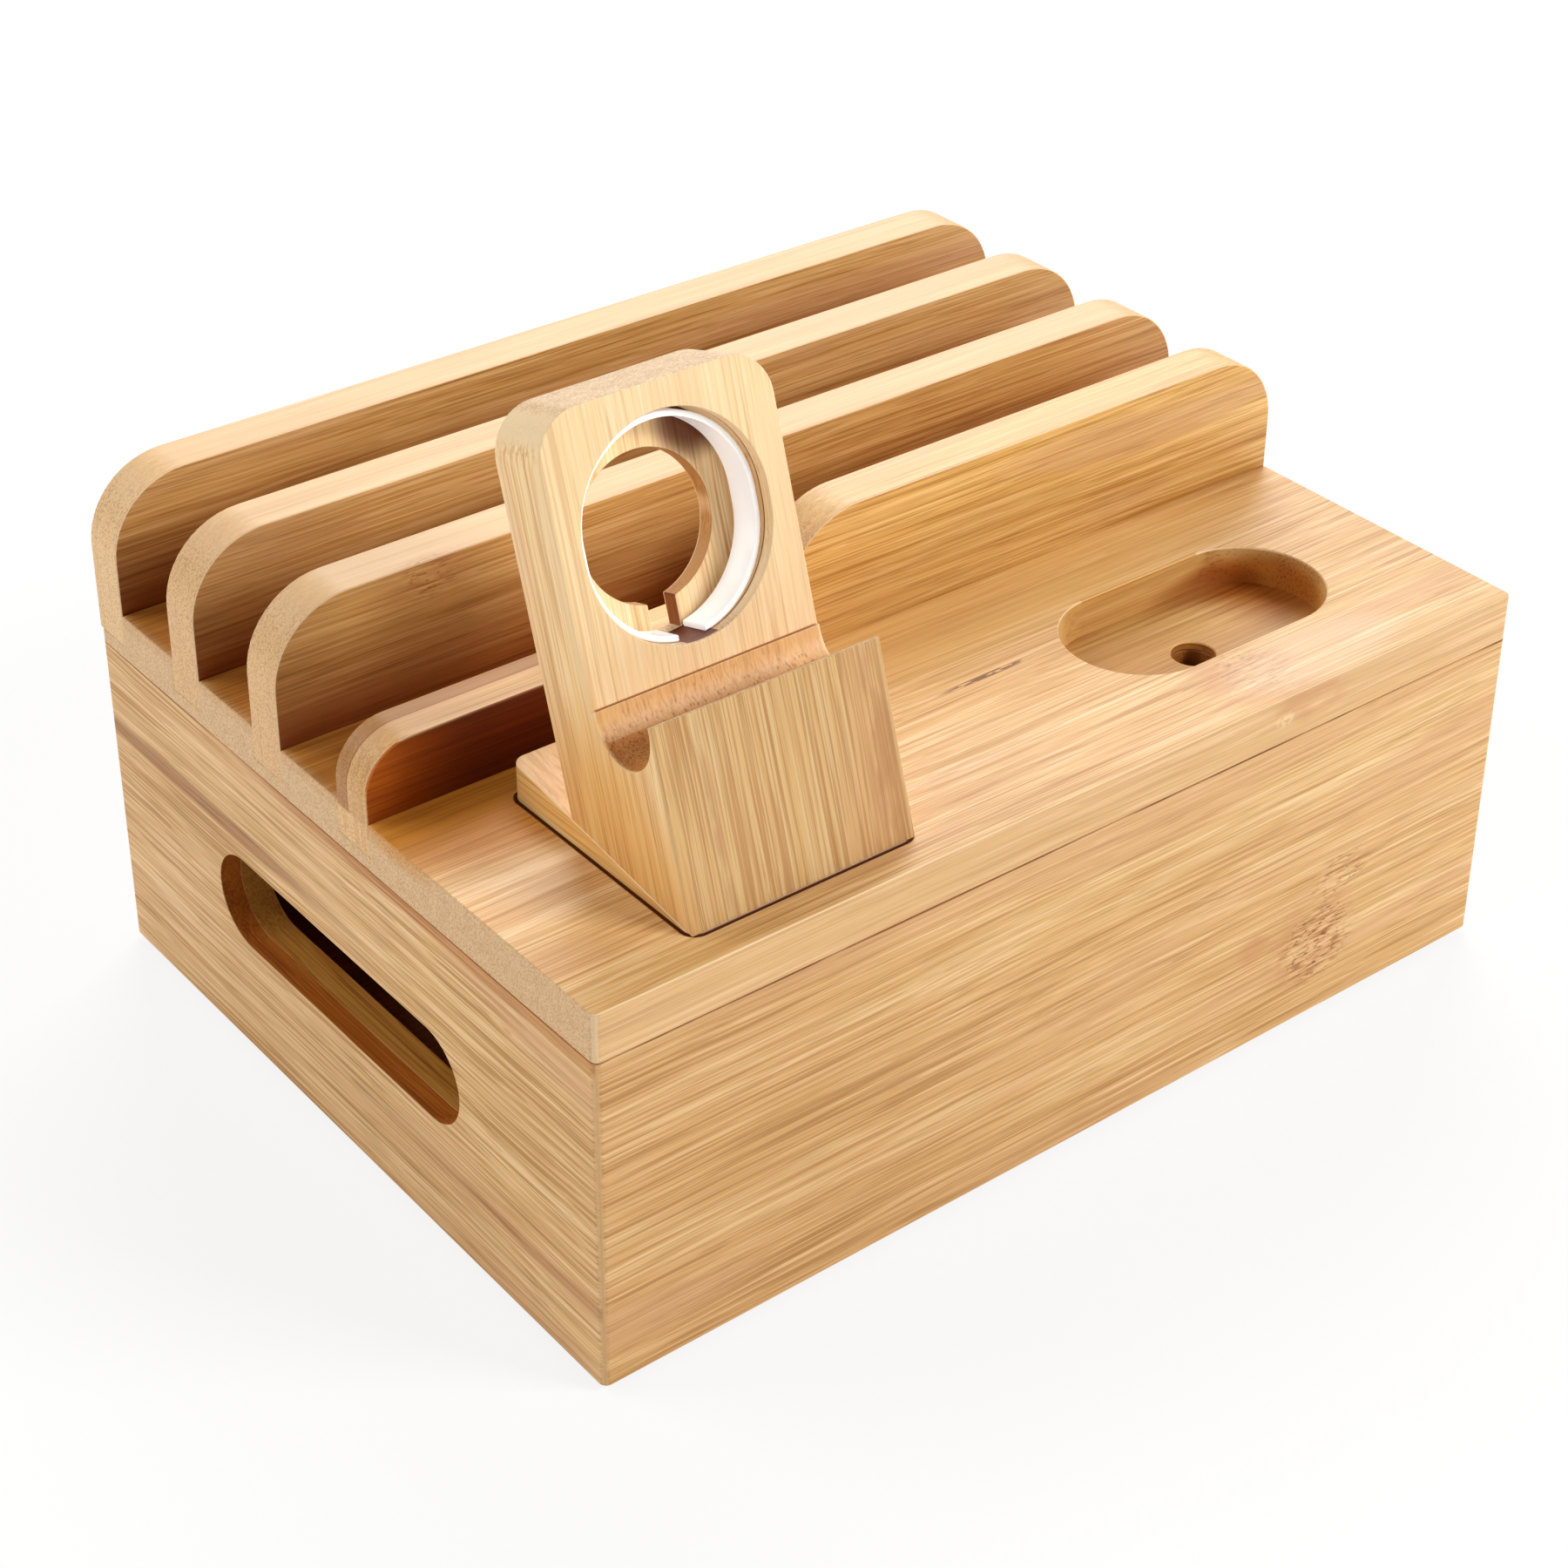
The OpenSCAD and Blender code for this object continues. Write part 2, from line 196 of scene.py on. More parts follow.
class Shader:
    """One material's node tree, with short ways to add what the finishes need."""

    def __init__(self, name: str) -> None:
        """Starts a material of that name with one Principled shader.

        Args:
            name: Name of the material.
        """
        self.material = bpy.data.materials.new(name)
        self.material.use_nodes = True
        self.nodes = self.material.node_tree.nodes
        self.links = self.material.node_tree.links
        self.surface = next(n for n in self.nodes if n.type == "BSDF_PRINCIPLED")

    def add(self, kind: str, settings: dict[str, Any], values: dict[Any, Any]) -> bpy.types.Node:
        """Adds a node.

        Args:
            kind: The node's type.
            settings: Properties of the node, set first.
            values: For each input, by name or number, a constant or a Shade to link.

        Returns:
            The new node.
        """
        node = self.nodes.new(kind)
        for key, value in settings.items():
            setattr(node, key, value)
        for key, value in values.items():
            self.feed(node, key, value)
        return node

    def feed(self, node: bpy.types.Node, key: Any, value: Any) -> None:
        """Sets or links one input of a node."""
        if isinstance(value, Shade):
            self.links.new(value.socket, node.inputs[key])
        else:
            node.inputs[key].default_value = value

    def object_point(self) -> Shade:
        """The shaded point in the object's own coordinates."""
        node = self.add("ShaderNodeTexCoord", {}, {})
        return Shade(self, node.outputs["Object"])

    def object_normal(self) -> Shade:
        """The surface's direction in the object's own coordinates."""
        node = self.add("ShaderNodeTexCoord", {}, {})
        return Shade(self, node.outputs["Normal"])

    def dot(self, vector: Shade, axis: Triple) -> Shade:
        """Length of a vector along a fixed axis."""
        node = self.add("ShaderNodeVectorMath", {"operation": "DOT_PRODUCT"}, {0: vector, 1: axis})
        return Shade(self, node.outputs["Value"])

    def combine(self, x: Any, y: Any, z: Any) -> Shade:
        """A vector from three values."""
        node = self.add("ShaderNodeCombineXYZ", {}, {0: x, 1: y, 2: z})
        return Shade(self, node.outputs[0])

    def noise(self, vector: Shade, detail: float = 2.0, rough: float = 0.5) -> Shade:
        """Soft noise, about 0.5 on average, at a vector already scaled.

        Args:
            vector: Where the noise is read.
            detail: Number of finer layers.
            rough: Strength of the finer layers.

        Returns:
            The noise value.
        """
        values = {"Vector": vector, "Scale": 1.0, "Detail": detail, "Roughness": rough}
        node = self.add("ShaderNodeTexNoise", {"noise_dimensions": "3D"}, values)
        return Shade(self, node.outputs[0])

    def mix(self, share: Any, first: Any, second: Any) -> Shade:
        """Blend of two colours.

        Args:
            share: Share of the second colour, 0 to 1.
            first: A colour as a Shade or as three numbers.
            second: A colour as a Shade or as three numbers.

        Returns:
            The blended colour.
        """
        colours = [c if isinstance(c, Shade) else (*c, 1.0) for c in (first, second)]
        node = self.add(
            "ShaderNodeMix",
            {"data_type": "RGBA", "clamp_factor": True},
            {0: share, 6: colours[0], 7: colours[1]},
        )
        return Shade(self, node.outputs[2])

    def tint(self, share: Any, colour: Shade, tint: Colour) -> Shade:
        """A colour multiplied by a tint, so that its pattern stays.

        Args:
            share: Strength of the tint, 0 to 1.
            colour: The colour to darken.
            tint: What full strength multiplies it by.

        Returns:
            The tinted colour.
        """
        node = self.add(
            "ShaderNodeMix",
            {"data_type": "RGBA", "clamp_factor": True, "blend_type": "MULTIPLY"},
            {0: share, 6: colour, 7: (*tint, 1.0)},
        )
        return Shade(self, node.outputs[2])

    def bump(self, height: Shade, distance: float, strength: float = 1.0) -> None:
        """Lets a height field tilt the surface's normal."""
        values = {"Height": height, "Distance": distance, "Strength": strength}
        node = self.add("ShaderNodeBump", {}, values)
        self.feed(self.surface, "Normal", Shade(self, node.outputs[0]))


class Flaw(Enum):
    """What a small natural mark in the wood looks like, and which painted shade and painted light are laid on
    the wood.
    """

    DASHES = "short dark broken fibres"
    BLUSH = "a soft reddish cloud"
    SPLIT = "one thin dark line"
    PALE = "a pale spot"
    # Painted shade: a soft darker patch that stands in for shadow; also used for a broad dark streak in the
    # left board.
    PAINTED_SHADE_AND_STREAK = "a soft darker patch"
    # Painted shade inside cuts, slots, holes and gaps, as a box with soft edges; also used for darker strips
    # of wood on the front divider and the stand's lip.
    CUT_SHADE_AND_STRIP = "darker wood inside a cut"
    DOTS = "dark dots of cut fibres in a milled wall"
    # Wood of another tone; beside the front divider, a brighter tone that is painted light.
    TONE_AND_PAINTED_LIGHT = "wood of another tone"
    LINES = "crisp dark lines along the fibres"


TINTS = (Flaw.PAINTED_SHADE_AND_STREAK, Flaw.CUT_SHADE_AND_STRIP, Flaw.DOTS)
BOXES = (Flaw.CUT_SHADE_AND_STRIP, Flaw.DOTS)


@dataclass(frozen=True)
class Mark:
    """A small natural mark at one place of a board, or a patch of painted shade or painted light there.

    Args:
        flaw: What it looks like.
        centre_mm: Its middle in the object's frame.
        half_mm: Half sizes along the fibres and in the two directions across them.
        strength: How strongly it shows, 0 to 1.
        tint: What painted shade, a darker streak or strip, or the dots multiply the wood's colour by; or the
            other tone, which is painted light in places.
    """

    flaw: Flaw
    centre_mm: Triple
    half_mm: Triple
    strength: float = 1.0
    tint: Colour = srgb(190, 150, 96)


@dataclass(frozen=True)
class Bamboo:
    """Oiled bamboo of one board or one kind of board.

    Args:
        name: Name of the material.
        grain: Which way the fibres run.
        dark: Colour of the darkest fibres.
        base: Colour of most of the wood.
        pale: Colour of the lightest fibres.
        rosy: Colour of the broad reddish clouds.
        olive: Colour of the broad greenish clouds.
        end: Colour of the cut ends of the fibres.
        seed: Moves the pattern, so that no two boards match.
        fibre: Strength of the finest streaks.
        band: Strength of the broad streaks.
        strip_mm: Usual width of the glued strips side by side, or 0 for none.
        strip: How much the strips differ.
        edge_axis: Which direction across the fibres (1 or 2) faces out of the narrow edges, 0 for none.
        edge: Colour of those narrow edges.
        edge_share: How much that colour hides the streaks there.
        end_share: How much the cut ends differ from the rest.
        layers: How much the darker layers show in the cut ends.
        arris_highlight: Painted highlight colour of the rounded edges, where they catch the light.
        foot_shade_mm: Height at which painted shade darkens the faces most, fading upwards, or None.
        foot_shade: Strength of that painted shade.
        foot_shade_tint: What full painted shade multiplies the wood's colour by.
        foot_shade_in_front: Whether only the front face gets the painted shade.
        seam_shadow_mm: Height of the painted shadow line where another piece rests on this one, or None.
        seam_shadow: Strength of that painted shadow line.
        marks: Small natural marks, and patches of painted shade and painted light.
    """

    name: str
    grain: Grain
    dark: Colour = srgb(188, 138, 78)
    base: Colour = srgb(222, 176, 114)
    pale: Colour = srgb(242, 204, 150)
    rosy: Colour = srgb(218, 168, 118)
    olive: Colour = srgb(212, 168, 102)
    end: Colour = srgb(216, 180, 136)
    seed: float = 0.0
    fibre: float = 1.0
    band: float = 1.0
    strip_mm: float = 0.0
    strip: float = 0.5
    edge_axis: int = 0
    edge: Colour = srgb(240, 203, 150)
    edge_share: float = 0.7
    end_share: float = 1.0
    layers: float = 0.0
    arris_highlight: Colour = srgb(244, 210, 158)
    foot_shade_mm: float | None = None
    foot_shade: float = 0.5
    foot_shade_tint: Colour = srgb(160, 104, 44)
    foot_shade_in_front: bool = False
    seam_shadow_mm: float | None = None
    seam_shadow: float = 1.0
    marks: tuple[Mark, ...] = ()

    def streak(self, shader: Shader, place: Sequence[Shade], along_mm: float, across_mm: float,
               shift: float, detail: float = 2.0) -> Shade:
        """Noise drawn out along the fibres.

        Args:
            shader: The material's tree.
            place: The point along and across the fibres.
            along_mm: Length of a streak.
            across_mm: Width of a streak.
            shift: Moves this layer away from the others.
            detail: Number of finer layers.

        Returns:
            The noise value, about 0.5 on average.
        """
        along, first, second = place
        offset = self.seed * 7.31 + shift
        scaled = shader.combine(
            along / (along_mm * MM) + offset,
            first / (across_mm * MM) + offset,
            second / (across_mm * MM) + offset,
        )
        return shader.noise(scaled, detail)

    def zone(self, place: Sequence[Shade], mark: Mark) -> Shade:
        """Mask that is 1 at a mark's middle: round and soft, or a box with soft edges inside a cut."""
        total: Any = 0.0
        furthest: Any = 0.0
        for value, axis, half in zip(place, GRAIN_AXES[self.grain], mark.half_mm):
            middle = Vector(axis).dot(Vector(mark.centre_mm)) * MM
            offset = (value - middle) / (half * MM)
            total = offset * offset + total
            furthest = abs(offset).larger(furthest)
        if mark.flaw in BOXES:
            return furthest.step(1.0, 0.97) * mark.strength
        return total.step(1.0, 0.15) * mark.strength

    def add_marks(self, shader: Shader, place: Sequence[Shade], colour: Shade) -> Shade:
        """Lays the small natural marks and the other tones over a colour; some tones are painted light."""
        for mark in (m for m in self.marks if m.flaw not in TINTS):
            zone = self.zone(place, mark)
            if mark.flaw is Flaw.DASHES:
                short = self.streak(shader, place, 3.4, 0.36, 71.0)
                colour = shader.mix(zone * short.step(0.46, 0.38) * 0.6, colour, self.pale)
                colour = shader.mix(zone * short.step(0.52, 0.62) * 0.8, colour, srgb(154, 92, 36))
                pit = self.streak(shader, place, 1.5, 0.6, 77.0)
                colour = shader.mix(zone * pit.step(0.62, 0.68) * 0.8, colour, srgb(132, 74, 22))
            elif mark.flaw is Flaw.BLUSH:
                cloud = self.streak(shader, place, 7.0, 2.6, 83.0)
                colour = shader.mix(zone * cloud.step(0.3, 0.62) * 0.6, colour, srgb(204, 144, 94))
            elif mark.flaw is Flaw.SPLIT:
                torn = self.streak(shader, place, 2.5, 0.4, 91.0)
                colour = shader.mix(zone * torn.step(0.38, 0.5) * 0.9, colour, srgb(116, 64, 20))
            elif mark.flaw is Flaw.PALE:
                fleck = self.streak(shader, place, 1.2, 0.9, 97.0)
                colour = shader.mix(zone * fleck.step(0.35, 0.55) * 0.5, colour, srgb(244, 218, 160))
            elif mark.flaw is Flaw.TONE_AND_PAINTED_LIGHT:
                colour = shader.mix(zone, colour, mark.tint)
            elif mark.flaw is Flaw.LINES:
                thin = self.streak(shader, place, 90, 0.45, 103.0, 1.0)
                colour = shader.mix(zone * thin.step(0.56, 0.61) * 0.75, colour, self.dark)
        return colour

    def add_tints(self, shader: Shader, place: Sequence[Shade], colour: Shade) -> Shade:
        """Multiplies in the painted shade of patches, cuts and gaps, the darker streaks and strips, and the
        dots of cut fibres.
        """
        for mark in (m for m in self.marks if m.flaw in TINTS):
            share = self.zone(place, mark)
            if mark.flaw is Flaw.DOTS:
                share = share * self.dots(shader, place)
            colour = shader.tint(share, colour, mark.tint)
        return colour

    def dots(self, shader: Shader, place: Sequence[Shade]) -> Shade:
        """Mask of the bundles of fibres where they are cut across."""
        along, first, second = place
        size = 0.55 * MM
        cell = shader.add(
            "ShaderNodeTexVoronoi",
            {"feature": "F1", "voronoi_dimensions": "3D"},
            {"Vector": shader.combine(along / (2.2 * MM), first / size, second / size), "Scale": 1.0},
        )
        return Shade(shader, cell.outputs["Distance"]).step(0.42, 0.16)

    def speckled_ends(self, shader: Shader, place: Sequence[Shade], colour: Shade, turned: Shade) -> Shade:
        """Shows the fibres' cut ends where the surface turns across them.

        Args:
            shader: The material's tree.
            place: The point along and across the fibres.
            colour: Colour of the wood beside the cut.
            turned: How squarely the surface cuts the fibres, 0 to 1.

        Returns:
            The colour with its cut ends.
        """
        along, first, second = place
        cloud = self.streak(shader, place, 4.0, 2.2, 61.0)
        grit = shader.noise(shader.combine(along / (0.4 * MM), first / (0.3 * MM), second / (0.3 * MM)), 1.0)
        layer = shader.noise(shader.combine(first / (1.7 * MM), self.seed, 0.0), 1.0)
        cut = shader.mix(cloud.step(0.3, 0.7) * 0.3, self.end, self.pale)
        cut = shader.mix(layer.step(0.46, 0.62) * self.layers, cut, self.dark)
        cut = shader.mix(self.dots(shader, place) * 0.4, cut, self.dark)
        cut = shader.mix(grit.step(0.5, 0.66) * 0.5, cut, self.pale)
        cut = shader.mix(grit.step(0.5, 0.34) * 0.5, cut, self.dark)
        return shader.mix(turned.step(0.3, 0.8) * self.end_share, colour, cut)

    def material(self) -> bpy.types.Material:
        """Builds the material."""
        shader = Shader(self.name)
        point = shader.object_point()
        axes = GRAIN_AXES[self.grain]
        along, first, second = (shader.dot(point, axis) for axis in axes)
        lean = shader.combine(along / (70 * MM) + self.seed, first / (30 * MM), second / (30 * MM))
        wave = (shader.noise(lean) - 0.5) * (2.2 * MM)
        place = (along, first + wave, second + wave)

        fine = self.streak(shader, place, 30, 0.4, 3.0)
        middle = self.streak(shader, place, 60, 0.95, 11.0, 1.0)
        broad = self.streak(shader, place, 170, 4.5, 23.0, 1.0)
        dash = self.streak(shader, place, 13, 0.32, 37.0, 1.0)
        line = self.streak(shader, place, 24, 0.2, 43.0, 0.0)
        mist = self.streak(shader, place, 70, 9, 53.0, 1.0)

        tone = (fine - 0.5) * (1.35 * self.fibre) + (middle - 0.5) * (0.85 * self.band)
        tone = tone + (broad - 0.5) * (0.5 * self.band) + 0.5
        if self.strip_mm:
            strips = shader.add(
                "ShaderNodeTexVoronoi",
                {"feature": "F1", "voronoi_dimensions": "1D"},
                {"W": first / (self.strip_mm * MM) + self.seed, "Scale": 1.0, "Randomness": 1.0},
            )
            tone = tone + (Shade(shader, strips.outputs["Color"]) - 0.5) * self.strip

        colour = shader.mix(tone.step(0.14, 0.52), self.dark, self.base)
        colour = shader.mix(tone.step(0.48, 0.86), colour, self.pale)
        colour = shader.mix(mist.step(0.5, 0.68) * 0.6, colour, self.rosy)
        colour = shader.mix(mist.step(0.46, 0.3) * 0.3, colour, self.olive)
        colour = shader.mix(dash.step(0.58, 0.68) * (0.45 * self.fibre), colour, self.dark)
        colour = shader.mix(line.step(0.66, 0.74) * (0.55 * self.fibre), colour, self.dark)
        colour = shader.mix(line.step(0.34, 0.26) * (0.45 * self.fibre), colour, self.pale)

        out = shader.object_normal()
        facing = [abs(shader.dot(out, axis)) for axis in axes]
        if self.edge_axis:
            colour = shader.mix(facing[self.edge_axis].step(0.6, 0.85) * self.edge_share, colour, self.edge)
        colour = self.add_marks(shader, place, colour)
        # Painted shade: faces darken towards their bottom, where the slots between the dividers lie in shade.
        if self.foot_shade_mm is not None:
            height = shader.dot(point, (0, 0, 1)) - self.foot_shade_mm * MM
            side = 0.0 - shader.dot(out, axes[1]) if self.foot_shade_in_front else facing[1]
            low = height.step(26 * MM, -3 * MM) * side.step(0.6, 0.9)
            colour = shader.tint(low * self.foot_shade, colour, self.foot_shade_tint)
        colour = self.speckled_ends(shader, place, colour, facing[0])
        # Painted highlight along the rounded edges, where the surface turns between two faces.
        arris_highlight = facing[1].smaller(facing[0].larger(facing[2]))
        colour = shader.mix(arris_highlight.step(0.25, 0.55) * 0.75, colour, self.arris_highlight)
        # Painted shade of patches, cuts and gaps, with the darker streaks and strips, multiplied in.
        colour = self.add_tints(shader, (along, first, second), colour)
        # Painted shadow: a thin broken dark line just below the height where another piece rests on this one.
        if self.seam_shadow_mm is not None:
            top = shader.dot(point, (0, 0, 1)) - (self.seam_shadow_mm - 0.18) * MM
            shadow_line_share = (self.streak(shader, place, 14, 30, 59.0).step(0.36, 0.6) * 0.7 + 0.2) * self.seam_shadow
            colour = shader.mix(top.step(-0.06 * MM, 0.06 * MM) * shadow_line_share, colour, srgb(140, 82, 32))

        shader.feed(shader.surface, "Base Color", colour)
        shader.feed(shader.surface, "Roughness", 0.47 - (tone - 0.5) * 0.1)
        shader.surface.inputs["Specular IOR Level"].default_value = 0.38
        shader.bump(fine + middle * 0.5, 0.05 * MM, 0.5)
        return shader.material


@dataclass(frozen=True)
class PlainFinish:
    """A finish of one colour whose sheen varies finely, such as moulded plastic, rubber or plated steel.

    Args:
        name: Name of the material.
        colour: Its colour.
        shade: The colour of its slightly darker patches.
        roughness: How dull it is, 0 to 1.
        metallic: 1 for metal, else 0.
        mottle_mm: Size of the patches.
        bump_mm: Depth of its surface texture.
        clear_coat: Strength of a glossy coat.
        painted_glow: Painted light that the finish emits, to brighten it as if more light fell on it.
    """

    name: str
    colour: Colour
    shade: Colour
    roughness: float
    metallic: float = 0.0
    mottle_mm: float = 3.0
    bump_mm: float = 0.01
    clear_coat: float = 0.0
    painted_glow: float = 0.0

    def material(self) -> bpy.types.Material:
        """Builds the material."""
        shader = Shader(self.name)
        point = shader.object_point()
        x, y, z = (shader.dot(point, axis) for axis in ((1, 0, 0), (0, 1, 0), (0, 0, 1)))
        size = self.mottle_mm * MM
        patches = shader.noise(shader.combine(x / size, y / size, z / size), 3.0)
        grit = size / 12
        fine = shader.noise(shader.combine(x / grit, y / grit, z / grit), 2.0)
        mottled = shader.mix(patches.step(0.35, 0.7), self.colour, self.shade)
        shader.feed(shader.surface, "Base Color", mottled)
        shader.feed(shader.surface, "Roughness", self.roughness + (patches - 0.5) * 0.15)
        shader.surface.inputs["Metallic"].default_value = self.metallic
        shader.surface.inputs["Coat Weight"].default_value = self.clear_coat
        # Painted light: the finish emits its own colour so that it looks more brightly lit.
        shader.surface.inputs["Emission Color"].default_value = (*self.colour, 1.0)
        shader.surface.inputs["Emission Strength"].default_value = self.painted_glow
        shader.bump(fine, self.bump_mm * MM, 0.5)
        return shader.material


def eased_copy(node: str, ease_mm: float) -> bpy.types.Object:
    """Copies a solid's mesh, joins its triangles into whole faces and rounds its outward edges.

    Args:
        node: Name of the solid.
        ease_mm: Width of the rounding, or 0 for none.

    Returns:
        The new object, which replaces the solid in the picture.
    """
    merge, flat, crease, hard = 0.002 * MM, math.radians(0.4), math.radians(32), math.radians(40)
    shape = bmesh.new()
    shape.from_mesh(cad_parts[node].data)
    bmesh.ops.remove_doubles(shape, verts=shape.verts, dist=merge)
    bmesh.ops.dissolve_limit(shape, angle_limit=flat, verts=shape.verts, edges=shape.edges)
    if ease_mm:
        sharp = [e for e in shape.edges if e.is_manifold and e.calc_face_angle_signed() > crease]
        bmesh.ops.bevel(
            shape, geom=sharp, offset=ease_mm * MM, offset_type="OFFSET", segments=3,
            profile=0.5, affect="EDGES", clamp_overlap=False, material=-1,
        )
    mesh = bpy.data.meshes.new(node + "_look")
    shape.to_mesh(mesh)
    shape.free()
    mesh.shade_smooth()
    mesh.set_sharp_from_angle(angle=hard)
    piece = bpy.data.objects.new(node + "_look", mesh)
    bpy.context.scene.collection.objects.link(piece)
    even = piece.modifiers.new("even_shading", "WEIGHTED_NORMAL")
    even.keep_sharp = True
    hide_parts(node)
    return piece


@dataclass
class SubAssembly:
    """Pieces that move together as one body of the object.

    Args:
        body: Name of the body that they ride on.
    """

    body: str

    def place(self, node: str, finish: bpy.types.Material, slot: str, ease_mm: float) -> None:
        """Makes the look of one solid and puts it on this body.

        Args:
            node: Name of the solid.
            finish: Its material.
            slot: The record's material slot; not used.
            ease_mm: Width of its rounded edges.
        """
        piece = eased_copy(node, ease_mm)
        piece.data.materials.clear()
        piece.data.materials.append(finish)
        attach(piece, self.body)
        log.info("%s: %d faces on %s", piece.name, len(piece.data.polygons), self.body)


@dataclass
class CableBox(SubAssembly):
    """The four mitred walls, the bottom panel and the rubber feet."""

    body: str = "case"
    ease_mm: float = 0.2
    wall_ease_mm: float = 0.0
    top_mm: float = 56.7
    left_board_marks_and_shade: tuple[Mark, ...] = (
        # Painted shade inside the port, darker on its outer part.
        Mark(Flaw.CUT_SHADE_AND_STRIP, (-85.7, 0.6, 29.4), (36, 1.7, 10), 1.0, srgb(202, 140, 63)),
        Mark(Flaw.CUT_SHADE_AND_STRIP, (-81.7, 0.6, 29.4), (36, 2.3, 10), 1.0, srgb(212, 178, 110)),
        # A broad dark streak and a thin darker band in the wood, along the fibres.
        Mark(Flaw.PAINTED_SHADE_AND_STREAK, (-87.5, 45, 42), (60, 6, 2.2), 1.0, srgb(204, 180, 156)),
        Mark(Flaw.PAINTED_SHADE_AND_STREAK, (-87.5, -40, 14), (60, 6, 1.6), 0.6, srgb(214, 190, 170)),
        # Painted shadow under the lid's edge, along the top of the board.
        Mark(Flaw.PAINTED_SHADE_AND_STREAK, (-87.5, -40, 56.4), (80, 6, 2.2), 0.8, srgb(222, 190, 150)),
    )
    inside_shade_marks: tuple[Mark, ...] = (
        # Painted shade on the inside face of the bottom panel.
        Mark(Flaw.CUT_SHADE_AND_STRIP, (0, 0, 5.2), (90, 70, 0.6), 1.0, srgb(198, 156, 136)),
    )
    front_marks_and_shade: tuple[Mark, ...] = (
        # Painted shade, stronger towards the left end of the front board.
        Mark(Flaw.PAINTED_SHADE_AND_STREAK, (-87.5, -66.6, 25), (90, 20, 60), 0.5, srgb(236, 226, 216)),
        Mark(Flaw.BLUSH, (47, -66.6, 17), (12, 6, 12), 0.7),
        Mark(Flaw.BLUSH, (37.5, -66.6, 19.5), (7, 6, 4)),
        Mark(Flaw.DASHES, (50, -66.6, 14.5), (10, 6, 9)),
        Mark(Flaw.DASHES, (54, -66.6, 26), (8, 6, 5), 0.7),
    )

    def build(self) -> None:
        """Builds and dresses every piece of the box."""
        across, along, seam_shadow = Grain.ACROSS_BOX, Grain.FRONT_TO_BACK, self.top_mm
        # Painted highlight colour for the walls' rounded edges.
        corner = srgb(230, 186, 130)
        # Each wall gets a painted shadow line under the lid's edge, at the height of its top.
        walls = {
            "front_board": Bamboo("front_board_bamboo", across, seed=1.0, end_share=0.2, seam_shadow_mm=seam_shadow,
                                  arris_highlight=corner, marks=self.front_marks_and_shade),
            "back_board": Bamboo("back_board_bamboo", across, seed=2.0, end_share=0.2, seam_shadow_mm=seam_shadow,
                                 arris_highlight=corner),
            "left_board": Bamboo("left_board_bamboo", along, seed=3.0, end_share=0.2, fibre=1.35, band=1.3,
                                 base=srgb(227, 179, 120), seam_shadow_mm=seam_shadow, seam_shadow=0.25,
                                 arris_highlight=corner, marks=self.left_board_marks_and_shade),
            "right_board": Bamboo("right_board_bamboo", along, seed=4.0, end_share=0.2, seam_shadow_mm=seam_shadow,
                                  arris_highlight=corner),
        }
        for node, finish in walls.items():
            self.place(node, finish.material(), "bamboo_wall", self.wall_ease_mm)
        # The bottom panel's inside face is darkened with painted shade.
        panel = Bamboo("bottom_panel_bamboo", across, seed=5.0, fibre=0.5, marks=self.inside_shade_marks)
        self.place("bottom_panel", panel.material(), "bamboo_panel", self.ease_mm)
        rubber = PlainFinish("foot_rubber", srgb(52, 50, 48), srgb(40, 39, 38), 0.75, bump_mm=0.03).material()
        for corner in ("front_left", "front_right", "back_left", "back_right"):
            self.place("foot_" + corner, rubber, "foot_rubber", self.ease_mm)


